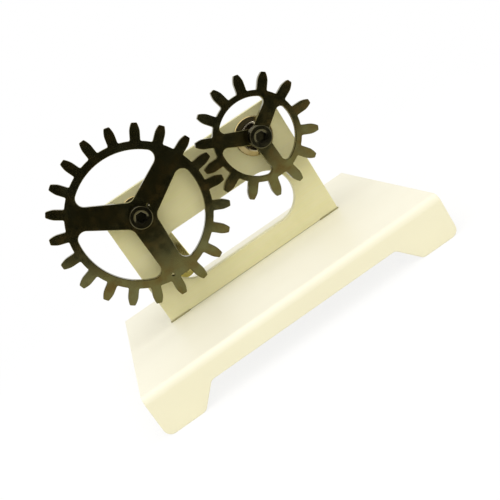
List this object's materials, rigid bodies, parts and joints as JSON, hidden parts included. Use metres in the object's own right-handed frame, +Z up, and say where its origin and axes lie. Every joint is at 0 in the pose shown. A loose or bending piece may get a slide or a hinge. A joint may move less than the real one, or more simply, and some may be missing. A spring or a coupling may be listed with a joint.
{
  "type": "gear transmission model",
  "caption": "Hand-cranked spur gear pair on a slotted upright plate, standing in a folded sheet stand with cut-out feet.",
  "frame": {"origin": "on the surface the stand rests on, under the middle of the stand's footprint", "axes": "+X to the right along the gear pair, seen from the gears' side; +Y to the back, where the crank is; +Z up"},
  "size_m": [0.1191, 0.102, 0.0923],
  "materials": {
    "cream_powder_coat": "satin powder coat",
    "satin_anodised_plate": "satin, pale champagne",
    "blackened_gear_steel": "glossy blackened steel",
    "black_oxide_screw": "black oxide",
    "bright_steel": "turned, bright",
    "bush_bronze": "turned bronze",
    "crank_brass": "satin",
    "black_phenolic": "smooth"
  },
  "bodies": {
    "stand": {"base_channel": "cream_powder_coat", "upright_plate": "satin_anodised_plate", "tab_pin_left": "bright_steel", "tab_pin_right": "bright_steel", "drive_bush": "bush_bronze", "drive_bush_nut": "bright_steel", "driven_bush": "bush_bronze", "driven_bush_nut": "bright_steel"},
    "drive_train": {"large_gear": "blackened_gear_steel", "hub_collar": "black_oxide_screw", "large_lock_washer": "black_oxide_screw", "large_gear_screw": "black_oxide_screw", "drive_pin": "bright_steel", "drive_shaft": "bright_steel", "drive_thrust_washer": "bright_steel", "crank_arm": "crank_brass", "crank_arm_washer": "bright_steel", "crank_arm_screw": "black_oxide_screw", "crank_pin": "bright_steel"},
    "driven_train": {"small_gear": "blackened_gear_steel", "gear_spacer": "black_oxide_screw", "small_lock_washer": "black_oxide_screw", "small_gear_screw": "black_oxide_screw", "driven_shaft": "bright_steel", "driven_thrust_washer": "bright_steel", "rear_collar": "bright_steel", "rear_collar_screw": "black_oxide_screw"},
    "grip": {"crank_grip": "black_phenolic"}
  },
  "joints": [
    {"name": "large_gear_spin", "type": "hinge", "parent": "stand", "child": "drive_train", "pos_m": [-0.02625, 0, 0.0585], "axis": [0, -1, 0], "continuous": true},
    {"name": "small_gear_spin", "type": "hinge", "parent": "stand", "child": "driven_train", "pos_m": [0.02625, 0, 0.0585], "axis": [0, -1, 0], "continuous": true},
    {"name": "crank_grip_spin", "type": "hinge", "parent": "drive_train", "child": "grip", "pos_m": [-0.02371, 0.026, 0.03001], "axis": [0, -1, 0], "continuous": true}
  ],
  "couplings": [
    {"joint": "small_gear_spin", "follows": "large_gear_spin", "ratio": -1.5}
  ]
}
